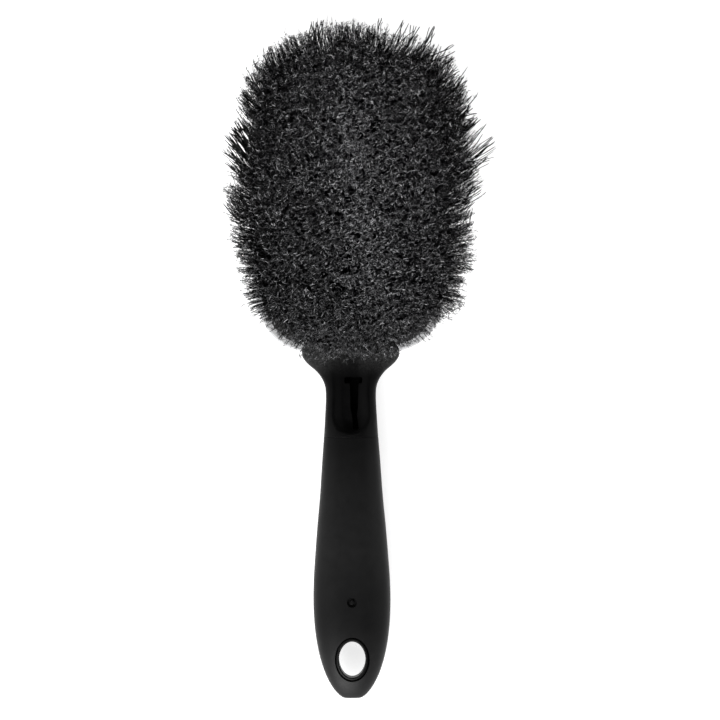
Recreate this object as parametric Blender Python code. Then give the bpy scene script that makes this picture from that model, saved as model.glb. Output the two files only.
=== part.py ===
"""Wheel brush: a moulded handle and head, a soft grip, a soft bumper and rows of bristle tufts.

The brush lies on its back with the bristles up. +Y runs from the handle to the head, +X across it and
+Z from the flat back of the head to the bristle tips. The origin is the middle of the brush's length
and width, on the plane of the head's back.
"""

import math

import bmesh
import bpy
from mathutils import Vector

MM = 0.001

# Gap left between two pieces that touch, and how far a cutter runs past what it cuts.
GAP = 0.3 * MM
CUT_PAST = 1.0 * MM

# Head block: a flat plate with a superellipse outline.
HEAD_CENTRE_Y = 66.1 * MM
HEAD_HALF_WIDTH = 41.5 * MM
HEAD_HALF_LENGTH = 62.8 * MM
HEAD_POWER = 3.8
HEAD_THICKNESS = 14.0 * MM
HEAD_EDGE_BREAK = 1.0 * MM
HEAD_SEGMENTS = 64

# Bumper: a soft band round the head's edge, held by a tongue in the block's groove.
BUMPER_THICKNESS = 2.5 * MM
BUMPER_EDGE_BREAK = 0.9 * MM
BUMPER_BOTTOM_Z = 0.6 * MM
BUMPER_TOP_Z = 13.4 * MM
BUMPER_OPENING_Y = (-5.0 * MM, 20.0 * MM)
GROOVE_DEPTH = 1.8 * MM
GROOVE_BOTTOM_Z = 5.0 * MM
GROOVE_TOP_Z = 9.0 * MM

# Handle: its half width and its lowest and highest point along Y, from the head to the round end.
SHOULDER_HALF_WIDTH = 20.2 * MM
SHOULDER_ROOT_Y = 12.0 * MM
SHOULDER_Y = 3.0 * MM
NECK_Y = -14.0 * MM
GRIP_HALF_WIDTH = 16.0 * MM
END_CENTRE_Y = -98.1 * MM
END_LENGTH = 42.6 * MM
END_POWER = 2.15
END_FLAT_Y = -139.7 * MM
END_THINNING = 5.2 * MM
END_DROP = 2.2 * MM
END_STEPS = 9
HANDLE_SIDES = 28

HALF_WIDTHS = [
    (END_CENTRE_Y, GRIP_HALF_WIDTH),
    (-90.0 * MM, 15.8 * MM),
    (-81.5 * MM, 15.25 * MM),
    (-68.0 * MM, 14.2 * MM),
    (-54.9 * MM, 13.0 * MM),
    (-41.0 * MM, 12.05 * MM),
    (-28.4 * MM, 11.1 * MM),
    (-19.0 * MM, 10.55 * MM),
    (NECK_Y, 10.4 * MM),
    (-10.1 * MM, 10.75 * MM),
    (-6.75 * MM, 12.1 * MM),
    (-3.8 * MM, 14.4 * MM),
    (-1.4 * MM, 17.2 * MM),
    (0.6 * MM, 19.1 * MM),
    (SHOULDER_Y, SHOULDER_HALF_WIDTH),
]
LOW_POINTS = [
    (END_CENTRE_Y, 0.6 * MM),
    (-88.0 * MM, 0.5 * MM),
    (-55.0 * MM, 0.9 * MM),
    (NECK_Y, 1.1 * MM),
    (SHOULDER_Y, 0.7 * MM),
    (SHOULDER_ROOT_Y, 0.7 * MM),
]
HIGH_POINTS = [
    (END_CENTRE_Y, 19.8 * MM),
    (-88.0 * MM, 19.9 * MM),
    (-72.0 * MM, 19.4 * MM),
    (-55.0 * MM, 18.3 * MM),
    (-35.0 * MM, 16.6 * MM),
    (NECK_Y, 15.2 * MM),
    (SHOULDER_Y, 13.6 * MM),
    (SHOULDER_ROOT_Y, 13.4 * MM),
]
SECTION_POWERS = [
    (END_CENTRE_Y, 2.3),
    (-45.0 * MM, 2.3),
    (NECK_Y, 2.7),
    (SHOULDER_Y, 3.6),
    (SHOULDER_ROOT_Y, 3.6),
]

# Soft grip: a sleeve over the handle from this seam to the round end.
SEAM_Y = -31.0 * MM
GRIP_WALL = 1.9 * MM
GATE_Y = -99.4 * MM
GATE_OUTER_RADIUS = 2.05 * MM
GATE_NIB_RADIUS = 0.9 * MM
GATE_DEPTH = 1.3 * MM

# Scoop in the front of the neck, and the deeper T-shaped recess in its floor.
SCOOP_END_Y = -29.6 * MM
SCOOP_START_Y = 3.0 * MM
SCOOP_HALF_WIDTH = 8.3 * MM
SCOOP_SLOPE_RUN = 2.2 * MM
SCOOP_FLOOR_Z = 12.4 * MM
SCOOP_RIM_Z = 16.2 * MM
SCOOP_SEGMENTS = 16
THROAT_X = 1.3 * MM
THROAT_FLOOR_Z = 3.6 * MM
THROAT_BAR_HALF_WIDTH = 3.7 * MM
THROAT_BAR_Y = (-9.0 * MM, -6.4 * MM)
THROAT_STEM_HALF_WIDTHS = (1.1 * MM, 1.8 * MM)
THROAT_END_Y = -28.2 * MM

# Hang hole through the handle's end, and the bare collar round it.
HOLE_Y = -123.2 * MM
HOLE_HALF_WIDTH = 5.5 * MM
HOLE_HALF_LENGTH = 7.6 * MM
COLLAR_WALL = 1.4 * MM
HOLE_SEGMENTS = 32
HOLE_CUT_Z = (-2.0 * MM, 24.0 * MM)

# Tufts: staggered rows of holes, each with a bundle of filaments anchored in it.
ROW_COUNT = 17
FIRST_ROW_Y = 11.5 * MM
TUFT_PITCH = 7.6 * MM
TUFT_EDGE_MARGIN = 7.2 * MM
TUFT_HOLE_RADIUS = 1.85 * MM
TUFT_STEM_RADIUS = 1.5 * MM
TUFT_HOLE_FLOOR_Z = 5.0 * MM
TUFT_SIDES = 6
TUFT_MERGE_Z = 17.0 * MM
STEM_OVERLAP = 1.0 * MM

# Pad of bristle tips: the rows lean outwards from their roots to this outline.
PAD_CENTRE_Y = 70.0 * MM
PAD_HALF_WIDTH = 48.5 * MM
PAD_HALF_LENGTH = 69.3 * MM
PAD_POWER = 2.85
PAD_END_LIMIT = 0.985
PAD_TOP_Z = 56.0 * MM
PAD_EDGE_DROP = 6.0 * MM
WALL_STEPS_X = 8
WALL_LEVELS = (0.0, 0.55, 1.0)

BLACK_PLASTIC = ((0.012, 0.012, 0.013, 1.0), 0.32)
BLACK_RUBBER = ((0.022, 0.022, 0.023, 1.0), 0.62)
GREY_RUBBER = ((0.36, 0.36, 0.365, 1.0), 0.68)
BLACK_FILAMENT = ((0.03, 0.03, 0.032, 1.0), 0.5)


# Curves and outlines


def smooth_curve(points, y):
    """Height at y of a smooth curve through (y, height) points, held flat past its ends."""
    if y <= points[0][0]:
        return points[0][1]
    if y >= points[-1][0]:
        return points[-1][1]
    last = len(points) - 1
    i = next(k for k in range(last) if y < points[k + 1][0])
    (y0, h0), (y1, h1) = points[i], points[i + 1]
    before, after = points[max(i - 1, 0)], points[min(i + 2, last)]
    slope0 = (h1 - before[1]) / (y1 - before[0]) if i > 0 else 0.0
    slope1 = (after[1] - h0) / (after[0] - y0) if i + 1 < last else 0.0
    step = y1 - y0
    t = (y - y0) / step
    return (
        (2 * t**3 - 3 * t**2 + 1) * h0
        + (t**3 - 2 * t**2 + t) * step * slope0
        + (3 * t**2 - 2 * t**3) * h1
        + (t**3 - t**2) * step * slope1
    )


def superellipse(half_a, half_b, power, count):
    """Points of a superellipse, anticlockwise from its +a end."""
    points = []
    for k in range(count):
        angle = 2 * math.pi * k / count
        c, s = math.cos(angle), math.sin(angle)
        a = math.copysign(abs(c) ** (2 / power), c) * half_a
        b = math.copysign(abs(s) ** (2 / power), s) * half_b
        points.append((a, b))
    return points


def superellipse_half_width(half_a, half_b, power, b):
    """Half width of a superellipse at the distance b along its other axis."""
    share = min(abs(b) / half_b, 1.0)
    return half_a * (1 - share**power) ** (1 / power)


def head_ring(inset, z):
    """The head's outline at height z, moved inwards by inset."""
    outline = superellipse(HEAD_HALF_WIDTH - inset, HEAD_HALF_LENGTH - inset, HEAD_POWER, HEAD_SEGMENTS)
    return [Vector((x, HEAD_CENTRE_Y + y, z)) for x, y in outline]


def oval_ring(centre_y, half_width, half_length, z, count=HOLE_SEGMENTS):
    return [Vector((x, centre_y + y, z)) for x, y in superellipse(half_width, half_length, 2.0, count)]


def section_ring(y, half_width, low, high, power):
    """A closed cross-section of the handle at y."""
    middle, half_height = (low + high) / 2, (high - low) / 2
    section = superellipse(half_width, half_height, power, HANDLE_SIDES)
    return [Vector((x, y, middle + z)) for x, z in section]


def body_ring(y, inset):
    low = smooth_curve(LOW_POINTS, y) + inset
    high = smooth_curve(HIGH_POINTS, y) - inset
    return section_ring(y, smooth_curve(HALF_WIDTHS, y) - inset, low, high, smooth_curve(SECTION_POWERS, y))


def end_ring(angle, inset):
    """A cross-section of the handle's round end, which narrows to a blunt tip."""
    along = math.sin(angle)
    low, high = LOW_POINTS[0][1], HIGH_POINTS[0][1]
    half_height = (high - low) / 2 - inset - END_THINNING * along**3
    half_height *= math.sqrt(1 - along**8)
    middle = (low + high) / 2 - END_DROP * along**3
    return section_ring(
        END_CENTRE_Y - (END_LENGTH - inset) * along,
        (GRIP_HALF_WIDTH - inset) * math.sqrt(1 - along**END_POWER),
        middle - half_height,
        middle + half_height,
        SECTION_POWERS[0][1],
    )


def end_rings(inset):
    """The round end, from the flat at its tip back to its widest cross-section."""
    flat_angle = math.asin((END_CENTRE_Y - END_FLAT_Y - inset) / (END_LENGTH - inset))
    return [end_ring(flat_angle * k / END_STEPS, inset) for k in range(END_STEPS, -1, -1)]


GRIP_STATIONS = [-90 * MM, -82 * MM, -73 * MM, -63 * MM, -52 * MM, -41 * MM]
NECK_STATIONS = [-25 * MM, -18 * MM, NECK_Y, -11 * MM, -8.4 * MM, -6 * MM, -4.2 * MM, -2.6 * MM, -1.2 * MM]
SHOULDER_STATIONS = [0.2 * MM, 1.6 * MM, SHOULDER_Y, SHOULDER_ROOT_Y]


# Meshes


def loft(rings):
    """A closed solid through rings of equal length, with a flat face at each end."""
    bm = bmesh.new()
    loops = [[bm.verts.new(point) for point in ring] for ring in rings]
    count = len(loops[0])
    for low, high in zip(loops, loops[1:]):
        for k in range(count):
            bm.faces.new((low[k], low[(k + 1) % count], high[(k + 1) % count], high[k]))
    bm.faces.new(list(reversed(loops[0])))
    bm.faces.new(loops[-1])
    bmesh.ops.recalc_face_normals(bm, faces=bm.faces)
    return bm


def band(rings):
    """A closed band: the rings follow its cross-section, and the last joins the first."""
    bm = bmesh.new()
    loops = [[bm.verts.new(point) for point in ring] for ring in rings]
    count = len(loops[0])
    for low, high in zip(loops, loops[1:] + loops[:1]):
        for k in range(count):
            bm.faces.new((low[k], low[(k + 1) % count], high[(k + 1) % count], high[k]))
    bmesh.ops.recalc_face_normals(bm, faces=bm.faces)
    return bm


def box(low, high):
    bm = bmesh.new()
    bmesh.ops.create_cube(bm, size=1.0)
    for vert in bm.verts:
        vert.co = Vector([(a + b) / 2 + c * (b - a) for a, b, c in zip(low, high, vert.co)])
    return bm


def prisms(centres, radius, bottom, top):
    """One mesh of upright six-sided prisms, one at each (x, y)."""
    bm = bmesh.new()
    turns = [2 * math.pi * k / TUFT_SIDES for k in range(TUFT_SIDES)]
    for x, y in centres:
        low = [bm.verts.new((x + radius * math.cos(t), y + radius * math.sin(t), bottom)) for t in turns]
        high = [bm.verts.new((vert.co.x, vert.co.y, top)) for vert in low]
        for k in range(TUFT_SIDES):
            n = (k + 1) % TUFT_SIDES
            bm.faces.new((low[k], low[n], high[n], high[k]))
        bm.faces.new(list(reversed(low)))
        bm.faces.new(high)
    return bm


def finish(name, look):
    """The Principled material of one part."""
    colour, roughness = look
    material = bpy.data.materials.new(name + "_finish")
    material.use_nodes = True
    shader = material.node_tree.nodes["Principled BSDF"]
    shader.inputs["Base Color"].default_value = colour
    shader.inputs["Roughness"].default_value = roughness
    shader.inputs["Metallic"].default_value = 0.0
    return material


def add_object(name, bm, location=(0, 0, 0)):
    mesh = bpy.data.meshes.new(name)
    bm.to_mesh(mesh)
    bm.free()
    obj = bpy.data.objects.new(name, mesh)
    obj.location = location
    bpy.context.scene.collection.objects.link(obj)
    return obj


def add_part(name, bm, look, brush, location=(0, 0, 0)):
    """A sub-part with smooth sides and crisp edges, held by the brush's empty."""
    part = add_object(name, bm, location)
    part.data.shade_smooth()
    part.data.set_sharp_from_angle(angle=math.radians(35))
    part.data.materials.append(finish(name, look))
    part.parent = brush
    return part


def add_helper(name, bm, location=(0, 0, 0)):
    """A cutter or a shape to be joined. It isn't a part of the brush."""
    helper = add_object(name, bm, location)
    helper.hide_render = True
    helper.display_type = "WIRE"
    return helper


def combine(part, operation, helper):
    modifier = part.modifiers.new(helper.name, "BOOLEAN")
    modifier.operation = operation
    modifier.solver = "EXACT"
    modifier.object = helper


# Tuft layout


def tuft_rows():
    """Each row's y and the x of its tufts. Every second row is shifted by half a pitch."""
    last_row_y = 2 * HEAD_CENTRE_Y - FIRST_ROW_Y
    rows = []
    for row in range(ROW_COUNT):
        y = FIRST_ROW_Y + (last_row_y - FIRST_ROW_Y) * row / (ROW_COUNT - 1)
        room = superellipse_half_width(
            HEAD_HALF_WIDTH - TUFT_EDGE_MARGIN,
            HEAD_HALF_LENGTH - TUFT_EDGE_MARGIN,
            HEAD_POWER,
            y - HEAD_CENTRE_Y,
        )
        shift = 0.5 if row % 2 else 0.0
        reach = int(room / TUFT_PITCH) + 1
        places = [(k + shift) * TUFT_PITCH for k in range(-reach - 1, reach + 1)]
        rows.append((y, [x for x in places if abs(x) <= room]))
    return rows


# Parts


def handle_core_rings():
    """The hard handle from its tip to inside the head, thinner where the grip covers it."""
    covered = GRIP_WALL + GAP
    rings = end_rings(covered)
    rings += [body_ring(y, covered) for y in GRIP_STATIONS + [SEAM_Y]]
    rings += [body_ring(y, 0.0) for y in [SEAM_Y] + NECK_STATIONS + SHOULDER_STATIONS]
    return rings


def head_block_rings():
    """The head block, with the groove for the bumper's tongue round its edge."""
    edge = BUMPER_THICKNESS + GAP
    groove = edge + GROOVE_DEPTH
    levels = [
        (edge + HEAD_EDGE_BREAK, 0.0),
        (edge, HEAD_EDGE_BREAK),
        (edge, GROOVE_BOTTOM_Z),
        (groove, GROOVE_BOTTOM_Z),
        (groove, GROOVE_TOP_Z),
        (edge, GROOVE_TOP_Z),
        (edge, HEAD_THICKNESS - HEAD_EDGE_BREAK),
        (edge + HEAD_EDGE_BREAK, HEAD_THICKNESS),
    ]
    return [head_ring(inset, z) for inset, z in levels]


def scoop_ring(inset, z):
    """U-shaped outline: straight sides from the head and a round end towards the grip."""
    half_width = SCOOP_HALF_WIDTH - inset
    centre_y = SCOOP_END_Y + inset + half_width
    start_y = SCOOP_START_Y - inset
    bow = [math.pi + math.pi * k / SCOOP_SEGMENTS for k in range(SCOOP_SEGMENTS + 1)]
    outline = [(half_width * math.cos(t), centre_y + half_width * math.sin(t)) for t in bow]
    outline += [(half_width, start_y), (-half_width, start_y)]
    return [Vector((x, y, z)) for x, y in outline]


def throat_ring(z):
    """T-shaped outline: a bar near the head and a stem that narrows towards the grip."""
    bar_low, bar_high = THROAT_BAR_Y
    stem_low, stem_high = THROAT_STEM_HALF_WIDTHS
    right = [(stem_low, THROAT_END_Y), (stem_high, bar_low)]
    right += [(THROAT_BAR_HALF_WIDTH, bar_low), (THROAT_BAR_HALF_WIDTH, bar_high)]
    left = [(-x, y) for x, y in reversed(right)]
    return [Vector((THROAT_X + x, y, z)) for x, y in right + left]


def hang_hole_prism(extra, name):
    """An upright oval prism right through the handle's end, wider than the hang hole by extra."""
    half_width, half_length = HOLE_HALF_WIDTH + extra, HOLE_HALF_LENGTH + extra
    return add_helper(name, loft([oval_ring(HOLE_Y, half_width, half_length, z) for z in HOLE_CUT_Z]))


def make_collar():
    """The bare ring round the hang hole, a little below the grip's surface."""
    rings = end_rings(GAP) + [body_ring(y, GAP) for y in GRIP_STATIONS]
    collar = add_helper("hang_hole_collar", loft(rings))
    combine(collar, "INTERSECT", hang_hole_prism(COLLAR_WALL, "collar_outline"))
    return collar


def make_handle_core(brush, rows):
    core = add_part("handle_core", loft(handle_core_rings()), BLACK_PLASTIC, brush)
    combine(core, "UNION", add_helper("head_block", loft(head_block_rings())))
    combine(core, "UNION", make_collar())
    combine(core, "DIFFERENCE", hang_hole_prism(0.0, "hang_hole"))
    scoop = loft([scoop_ring(SCOOP_SLOPE_RUN, SCOOP_FLOOR_Z), scoop_ring(0.0, SCOOP_RIM_Z)])
    combine(core, "DIFFERENCE", add_helper("neck_scoop", scoop))
    throat = loft([throat_ring(THROAT_FLOOR_Z), throat_ring(SCOOP_RIM_Z)])
    combine(core, "DIFFERENCE", add_helper("neck_throat", throat))
    centres = [(x, y) for y, places in rows for x in places]
    holes = prisms(centres, TUFT_HOLE_RADIUS, TUFT_HOLE_FLOOR_Z, HEAD_THICKNESS + CUT_PAST)
    combine(core, "DIFFERENCE", add_helper("tuft_holes", holes))


def make_soft_grip(brush):
    """The grip's sleeve: its outside, less the space of the covered core and the hang hole's window."""
    seam = SEAM_Y - GAP
    outside = end_rings(0.0) + [body_ring(y, 0.0) for y in GRIP_STATIONS + [seam]]
    grip = add_part("soft_grip", loft(outside), BLACK_RUBBER, brush)
    past_seam = SEAM_Y + CUT_PAST
    inside = end_rings(GRIP_WALL) + [body_ring(y, GRIP_WALL) for y in GRIP_STATIONS + [SEAM_Y, past_seam]]
    combine(grip, "DIFFERENCE", add_helper("grip_cavity", loft(inside)))
    combine(grip, "DIFFERENCE", hang_hole_prism(COLLAR_WALL + GAP, "grip_window"))
    crown = HIGH_POINTS[0][1]
    profile = [
        (GATE_NIB_RADIUS, crown - GATE_DEPTH),
        (GATE_OUTER_RADIUS, crown - GATE_DEPTH),
        (GATE_OUTER_RADIUS, crown + CUT_PAST),
        (GATE_NIB_RADIUS, crown + CUT_PAST),
    ]
    gate = band([oval_ring(GATE_Y, radius, radius, z, 16) for radius, z in profile])
    combine(grip, "DIFFERENCE", add_helper("gate_recess", gate))


def make_head_bumper(brush):
    """The band round the head, open where the shoulders meet it."""
    tongue = BUMPER_THICKNESS + GROOVE_DEPTH
    profile = [
        (BUMPER_EDGE_BREAK, BUMPER_BOTTOM_Z),
        (0.0, BUMPER_BOTTOM_Z + BUMPER_EDGE_BREAK),
        (0.0, BUMPER_TOP_Z - BUMPER_EDGE_BREAK),
        (BUMPER_EDGE_BREAK, BUMPER_TOP_Z),
        (BUMPER_THICKNESS, BUMPER_TOP_Z),
        (BUMPER_THICKNESS, GROOVE_TOP_Z - GAP),
        (tongue, GROOVE_TOP_Z - GAP),
        (tongue, GROOVE_BOTTOM_Z + GAP),
        (BUMPER_THICKNESS, GROOVE_BOTTOM_Z + GAP),
        (BUMPER_THICKNESS, BUMPER_BOTTOM_Z),
    ]
    rings = [head_ring(inset, z) for inset, z in profile]
    bumper = add_part("head_bumper", band(rings), GREY_RUBBER, brush)
    half_gap = SHOULDER_HALF_WIDTH + GAP
    low_y, high_y = BUMPER_OPENING_Y
    opening = box((-half_gap, low_y, -CUT_PAST), (half_gap, high_y, HEAD_THICKNESS + CUT_PAST))
    combine(bumper, "DIFFERENCE", add_helper("bumper_opening", opening))


def row_wall(y, places, half_pitch):
    """A row's bristles above the block as one leaning wall, in the row's own frame."""
    lean = PAD_HALF_LENGTH / (HEAD_CENTRE_Y - FIRST_ROW_Y + half_pitch)
    root_half = max(places) + TUFT_HOLE_RADIUS
    columns = []
    for side in (-1, 1):
        root_y = y + side * half_pitch
        tip_y = PAD_CENTRE_Y + (root_y - HEAD_CENTRE_Y) * lean
        reach = min(abs(tip_y - PAD_CENTRE_Y), PAD_END_LIMIT * PAD_HALF_LENGTH)
        tip_half = superellipse_half_width(PAD_HALF_WIDTH, PAD_HALF_LENGTH, PAD_POWER, reach)
        columns.append((root_y - side * GAP / 2, tip_y - side * GAP / 2, tip_half))
    rings = []
    for step in range(WALL_STEPS_X + 1):
        across = 2 * step / WALL_STEPS_X - 1
        front, back = [], []
        for level in WALL_LEVELS:
            for (root_y, tip_y, tip_half), edge in zip(columns, (front, back)):
                half = root_half + (tip_half - root_half) * level
                top = PAD_TOP_Z - PAD_EDGE_DROP * abs(across * tip_half / PAD_HALF_WIDTH) ** 4
                share = level * (top - TUFT_MERGE_Z) / (PAD_TOP_Z - TUFT_MERGE_Z)
                place_y = root_y + (tip_y - root_y) * share - y
                edge.append(Vector((across * half, place_y, TUFT_MERGE_Z + (top - TUFT_MERGE_Z) * level)))
        rings.append(front + list(reversed(back)))
    wall = loft(rings)
    bmesh.ops.triangulate(wall, faces=wall.faces)
    return wall


def make_tuft_rows(brush, rows):
    half_pitch = (rows[1][0] - rows[0][0]) / 2
    for number, (y, places) in enumerate(rows, 1):
        name = f"tuft_row_{number:02d}"
        row = add_part(name, row_wall(y, places, half_pitch), BLACK_FILAMENT, brush, (0, y, 0))
        roots = [(x, 0.0) for x in places]
        stems = prisms(roots, TUFT_STEM_RADIUS, TUFT_HOLE_FLOOR_Z + GAP, TUFT_MERGE_Z + STEM_OVERLAP)
        combine(row, "UNION", add_helper(name + "_stems", stems, (0, y, 0)))


def main():
    for obj in list(bpy.data.objects):
        bpy.data.objects.remove(obj, do_unlink=True)
    brush = bpy.data.objects.new("wheel_brush", None)
    bpy.context.scene.collection.objects.link(brush)
    rows = tuft_rows()
    make_handle_core(brush, rows)
    make_soft_grip(brush)
    make_head_bumper(brush)
    make_tuft_rows(brush, rows)


main()
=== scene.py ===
"""Looks of the wheel brush: moulded handle, soft grip, grey bumper and rows of flagged bristles."""

import math

import bmesh
import bpy
import numpy as np
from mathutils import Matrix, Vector


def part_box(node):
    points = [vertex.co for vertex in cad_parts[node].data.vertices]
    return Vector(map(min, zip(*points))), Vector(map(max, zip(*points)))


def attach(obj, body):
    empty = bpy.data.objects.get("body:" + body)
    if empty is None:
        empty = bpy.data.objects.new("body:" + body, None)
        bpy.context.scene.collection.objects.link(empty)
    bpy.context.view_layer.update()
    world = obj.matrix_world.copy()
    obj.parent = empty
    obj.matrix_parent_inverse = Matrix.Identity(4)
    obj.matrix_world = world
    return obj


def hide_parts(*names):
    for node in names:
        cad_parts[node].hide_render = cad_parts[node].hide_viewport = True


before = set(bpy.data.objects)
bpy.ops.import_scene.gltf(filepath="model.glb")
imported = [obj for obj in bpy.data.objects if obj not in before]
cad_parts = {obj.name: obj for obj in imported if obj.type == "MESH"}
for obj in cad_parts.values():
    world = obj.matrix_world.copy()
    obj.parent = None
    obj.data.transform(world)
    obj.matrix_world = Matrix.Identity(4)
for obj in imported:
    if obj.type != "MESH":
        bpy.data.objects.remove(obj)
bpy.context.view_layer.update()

MM = 0.001
GAP = 0.3 * MM

# Camera: straight above the brush, far away, with the head at the top of the view.
CAMERA_HEIGHT = 1.6
SENSOR = 36.0
VIEW_WIDTH = 298.8 * MM
VIEW_PLANE_Z = 10.0 * MM
VIEW_CENTRE = (3.85 * MM, 0.7 * MM)
VIEW_ROLL = math.radians(-0.3)

# Handle, from its round end to the shoulders. The lists are (y, value) points of smooth curves.
END_CENTRE_Y = -98.1 * MM
END_LENGTH = 42.6 * MM
END_POWER = 2.15
END_THINNING = 5.2 * MM
END_DROP = 2.2 * MM
SHOULDER_Y = 3.0 * MM
SHOULDER_ROOT_Y = 12.0 * MM
NECK_IN_HEAD = 4.0 * MM
NECK_Y = -14.0 * MM
HALF_WIDTHS = [
    (END_CENTRE_Y, 16.0 * MM),
    (-90.0 * MM, 15.8 * MM),
    (-81.5 * MM, 15.25 * MM),
    (-68.0 * MM, 14.2 * MM),
    (-54.9 * MM, 13.0 * MM),
    (-41.0 * MM, 12.05 * MM),
    (-28.4 * MM, 11.1 * MM),
    (-19.0 * MM, 10.55 * MM),
    (NECK_Y, 10.4 * MM),
    (-10.1 * MM, 10.75 * MM),
    (-6.75 * MM, 12.1 * MM),
    (-3.8 * MM, 14.4 * MM),
    (-1.4 * MM, 17.2 * MM),
    (0.6 * MM, 19.1 * MM),
    (SHOULDER_Y, 20.2 * MM),
]
LOW_POINTS = [
    (END_CENTRE_Y, 0.6 * MM),
    (-88.0 * MM, 0.5 * MM),
    (-55.0 * MM, 0.9 * MM),
    (NECK_Y, 1.1 * MM),
    (SHOULDER_Y, 0.7 * MM),
]
HIGH_POINTS = [
    (END_CENTRE_Y, 19.8 * MM),
    (-88.0 * MM, 19.9 * MM),
    (-72.0 * MM, 19.4 * MM),
    (-55.0 * MM, 18.3 * MM),
    (-35.0 * MM, 16.6 * MM),
    (NECK_Y, 15.2 * MM),
    (SHOULDER_Y, 13.6 * MM),
    (SHOULDER_ROOT_Y, 13.4 * MM),
]
SECTION_POWERS = [
    (END_CENTRE_Y, 2.3),
    (-45.0 * MM, 2.3),
    (NECK_Y, 2.7),
    (SHOULDER_Y, 3.6),
]
GRIP_WALL = 1.9 * MM
SEAM_SLIT = 0.06 * MM
SEAM_EDGE = 0.12 * MM

# Scoop in the neck and the T-shaped recess in its floor.
SCOOP_END_Y = -29.6 * MM
SCOOP_START_Y = 5.0 * MM
SCOOP_HALF_WIDTH = 8.3 * MM
SCOOP_SIDE_RUN = 5.6 * MM
SCOOP_START_RUN = 2.2 * MM
SCOOP_FLOOR_Z = 12.4 * MM
SCOOP_RIM_Z = 16.2 * MM
SCOOP_BLEND = 2.2 * MM
SCOOP_RISE_LIMIT = 4.0
THROAT_X = 1.0 * MM
THROAT_FLOOR_Z = 3.6 * MM
THROAT_BAR_HALF_WIDTH = 3.7 * MM
THROAT_BAR_Y = (-9.0 * MM, -6.4 * MM)
THROAT_STEM = [
    (-28.2 * MM, 0.9 * MM, 1.25 * MM),
    (-25.2 * MM, 0.8 * MM, 1.1 * MM),
    (-22.5 * MM, 0.4 * MM, 1.0 * MM),
    (-19.5 * MM, 0.3 * MM, 1.5 * MM),
    (THROAT_BAR_Y[0], 0.4 * MM, 1.8 * MM),
]
THROAT_CORNER = 0.5 * MM
THROAT_CORNER_SHARE = 0.45
THROAT_TOP_Z = SCOOP_RIM_Z + 4.0 * MM

# Hang hole and its collar.
HOLE_Y = -123.2 * MM
HOLE_HALF_WIDTH = 5.5 * MM
HOLE_HALF_LENGTH = 7.6 * MM
HOLE_CUT_Z = (-2.0 * MM, 24.0 * MM)
COLLAR_WALL = 1.4 * MM
COLLAR_SINK = 0.5 * MM
COLLAR_LIP_ROUND = 0.6 * MM
COLLAR_OUTER_BREAKS = [(0.0, 0.35 * MM), (0.15 * MM, 0.15 * MM)]

# Head: a superellipse with a flat back, a groove round its edge and the bumper in that groove.
HEAD_CENTRE_Y = 66.1 * MM
HEAD_POWER = 3.8
HEAD_THICKNESS = 14.0 * MM
HEAD_EDGE_ROUND = 1.0 * MM
BUMPER_THICKNESS = 2.5 * MM
BUMPER_EDGE_ROUND = 0.9 * MM
BUMPER_SWELL = 0.15 * MM
BUMPER_RINGS = 300
GROOVE_DEPTH = 1.8 * MM
GROOVE_Z = (5.0 * MM, 9.0 * MM)
TUFT_HOLE_RADIUS = 1.85 * MM
TUFT_HOLE_FLOOR_Z = 5.0 * MM
TUFT_HOLE_SIDES = 12
TUFT_HOLE_CUT_PAST = 1.0 * MM

# Dust and painted light on the shoulders, a paler speckle that also stands for the lit bristle fringe:
# where it starts and where it is full, along the handle and away from x = 0.
DUST_AND_LIGHT_Y = (-7.0 * MM, 3.0 * MM)
DUST_AND_LIGHT_X = (-6.0 * MM, 13.0 * MM)

# Grip: its rounded end, the spacing of its rings, and its painted highlights, paler bands of rubber
# colour, from the hanging end (0) to the seam (1).
GRIP_END_ROUND = 0.9 * MM
GRIP_END_LENGTH = 8.0 * MM
GRIP_END_SPACING = 0.35 * MM
GRIP_SPACING = 0.8 * MM
NECK_SPACING = 0.25 * MM
GRIP_CUT_PAST = 1.0 * MM
HIDDEN_RINGS = 60
PAINTED_LIGHT_ALONG = [
    (0.0, 0.36),
    (0.15, 0.42),
    (0.28, 0.0),
    (0.42, 0.08),
    (0.56, 0.3),
    (0.74, 0.22),
    (0.95, 0.0),
]

# Gate mark on the grip: a round trench with a nib left standing in its middle.
GATE_Y = -99.4 * MM
GATE_OUTER_RADIUS = 2.05 * MM
GATE_NIB_RADIUS = 0.9 * MM
GATE_NIB_ROUND = 0.3 * MM
GATE_NIB_DROP = 0.5 * MM
GATE_DEPTH = 1.3 * MM
GATE_CUT_PAST = 0.5 * MM
GATE_OVERLAP = 0.1 * MM


# Curves, outlines and lofted meshes

TINY = 1e-12
LEAST_BEND = 1e-9
SPARE_AXIS = np.array([0.31, 0.95, 0.0])


def smooth_curve(points, y):
    """Height at y of a smooth curve through (y, height) points, held flat past its ends."""
    if y <= points[0][0]:
        return points[0][1]
    if y >= points[-1][0]:
        return points[-1][1]
    last = len(points) - 1
    i = next(k for k in range(last) if y < points[k + 1][0])
    (y0, h0), (y1, h1) = points[i], points[i + 1]
    before, after = points[max(i - 1, 0)], points[min(i + 2, last)]
    slope0 = (h1 - before[1]) / (y1 - before[0]) if i > 0 else 0.0
    slope1 = (after[1] - h0) / (after[0] - y0) if i + 1 < last else 0.0
    step = y1 - y0
    t = (y - y0) / step
    return (
        (2 * t**3 - 3 * t**2 + 1) * h0
        + (t**3 - 2 * t**2 + t) * step * slope0
        + (3 * t**2 - 2 * t**3) * h1
        + (t**3 - t**2) * step * slope1
    )


def smooth_min(a, b, blend):
    """The lower of two heights, with a round fillet where they cross."""
    share = np.clip(0.5 + 0.5 * (b - a) / blend, 0.0, 1.0)
    return b + (a - b) * share - blend * share * (1 - share)


def superellipse(half_a, half_b, power, angles):
    c, s = np.cos(angles), np.sin(angles)
    a = np.copysign(np.abs(c) ** (2 / power), c) * half_a
    b = np.copysign(np.abs(s) ** (2 / power), s) * half_b
    return a, b


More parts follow.
